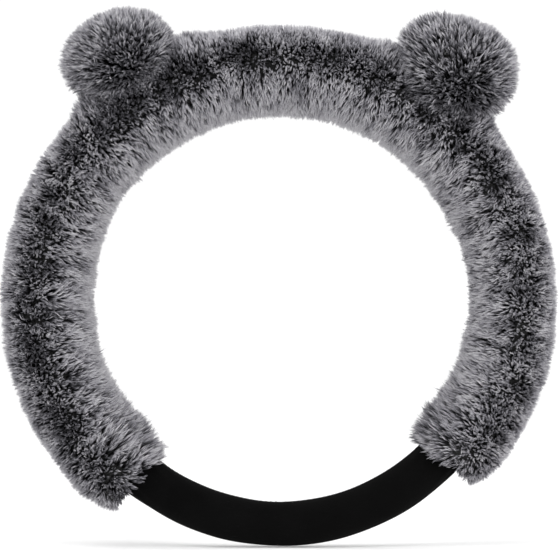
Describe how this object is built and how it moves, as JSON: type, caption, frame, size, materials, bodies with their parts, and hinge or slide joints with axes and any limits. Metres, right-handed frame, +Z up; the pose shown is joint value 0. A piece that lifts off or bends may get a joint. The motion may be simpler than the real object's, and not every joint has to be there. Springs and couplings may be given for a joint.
{
  "type": "animal ears headband",
  "caption": "Plush headband ring: a padded fur sleeve with two round fur-ball ears, closed below by a smooth stretchy band, so that the ring opens over a head.",
  "frame": {"origin": "centre of the head opening, the middle of the ring, halfway between its front and back", "axes": "+Z up between the ears, as the ring stands when worn; Y is the ring's axis, with the wearer's face towards -Y; +X to the right as seen from the front"},
  "size_m": [0.247, 0.0528, 0.2435],
  "materials": {
    "fur": "matte",
    "fur_backing": "matte",
    "velour": "matte",
    "elastic": "matte",
    "foam": "matte",
    "stuffing": "matte",
    "felt": "matte",
    "thread": "satin"
  },
  "bodies": {
    "crown": {"crown_pile": "fur", "crown_backing": "fur_backing", "crown_foam": "foam", "crown_seam": "thread", "left_anchor": "felt", "right_anchor": "felt"},
    "left_arm": {"left_pile": "fur", "left_backing": "fur_backing", "left_foam": "foam", "left_seam": "thread", "left_end_hem": "fur_backing", "left_tack_stitches": "thread", "left_band_cover": "velour", "left_band_foam": "foam", "left_band_elastic": "elastic", "left_band_seam": "thread"},
    "left_shank": {"left_ear_shank": "thread"},
    "left_ear": {"left_ear_pile": "fur", "left_ear_skin": "fur_backing", "left_ear_stuffing": "stuffing", "left_ear_gather": "thread"},
    "right_arm": {"right_pile": "fur", "right_backing": "fur_backing", "right_foam": "foam", "right_seam": "thread", "right_end_hem": "fur_backing", "right_tack_stitches": "thread", "right_band_cover": "velour", "right_band_foam": "foam", "right_band_elastic": "elastic", "right_band_seam": "thread"},
    "right_shank": {"right_ear_shank": "thread"},
    "right_ear": {"right_ear_pile": "fur", "right_ear_skin": "fur_backing", "right_ear_stuffing": "stuffing", "right_ear_gather": "thread"}
  },
  "joints": [
    {"name": "left_arm_opens", "type": "hinge", "parent": "crown", "child": "left_arm", "pos_m": [-0.104, 0, 0.06753], "axis": [0, 1, 0], "range_deg": [0, 8], "stiffness_Nm_per_rad": 1},
    {"name": "right_arm_opens", "type": "hinge", "parent": "crown", "child": "right_arm", "pos_m": [0.104, 0, 0.06753], "axis": [0, -1, 0], "range_deg": [0, 8], "stiffness_Nm_per_rad": 1},
    {"name": "left_ear_sways", "type": "hinge", "parent": "crown", "child": "left_shank", "pos_m": [-0.06359, 0, 0.0957], "axis": [0, 1, 0], "range_deg": [-10, 10], "stiffness_Nm_per_rad": 0.02},
    {"name": "left_ear_nods", "type": "hinge", "parent": "left_shank", "child": "left_ear", "pos_m": [-0.06359, 0, 0.0957], "axis": [0.8329, 0, 0.5534], "range_deg": [-10, 10], "stiffness_Nm_per_rad": 0.02},
    {"name": "right_ear_sways", "type": "hinge", "parent": "crown", "child": "right_shank", "pos_m": [0.06867, 0, 0.09212], "axis": [0, 1, 0], "range_deg": [-10, 10], "stiffness_Nm_per_rad": 0.02},
    {"name": "right_ear_nods", "type": "hinge", "parent": "right_shank", "child": "right_ear", "pos_m": [0.06867, 0, 0.09212], "axis": [0.8018, 0, -0.5976], "range_deg": [-10, 10], "stiffness_Nm_per_rad": 0.02}
  ]
}
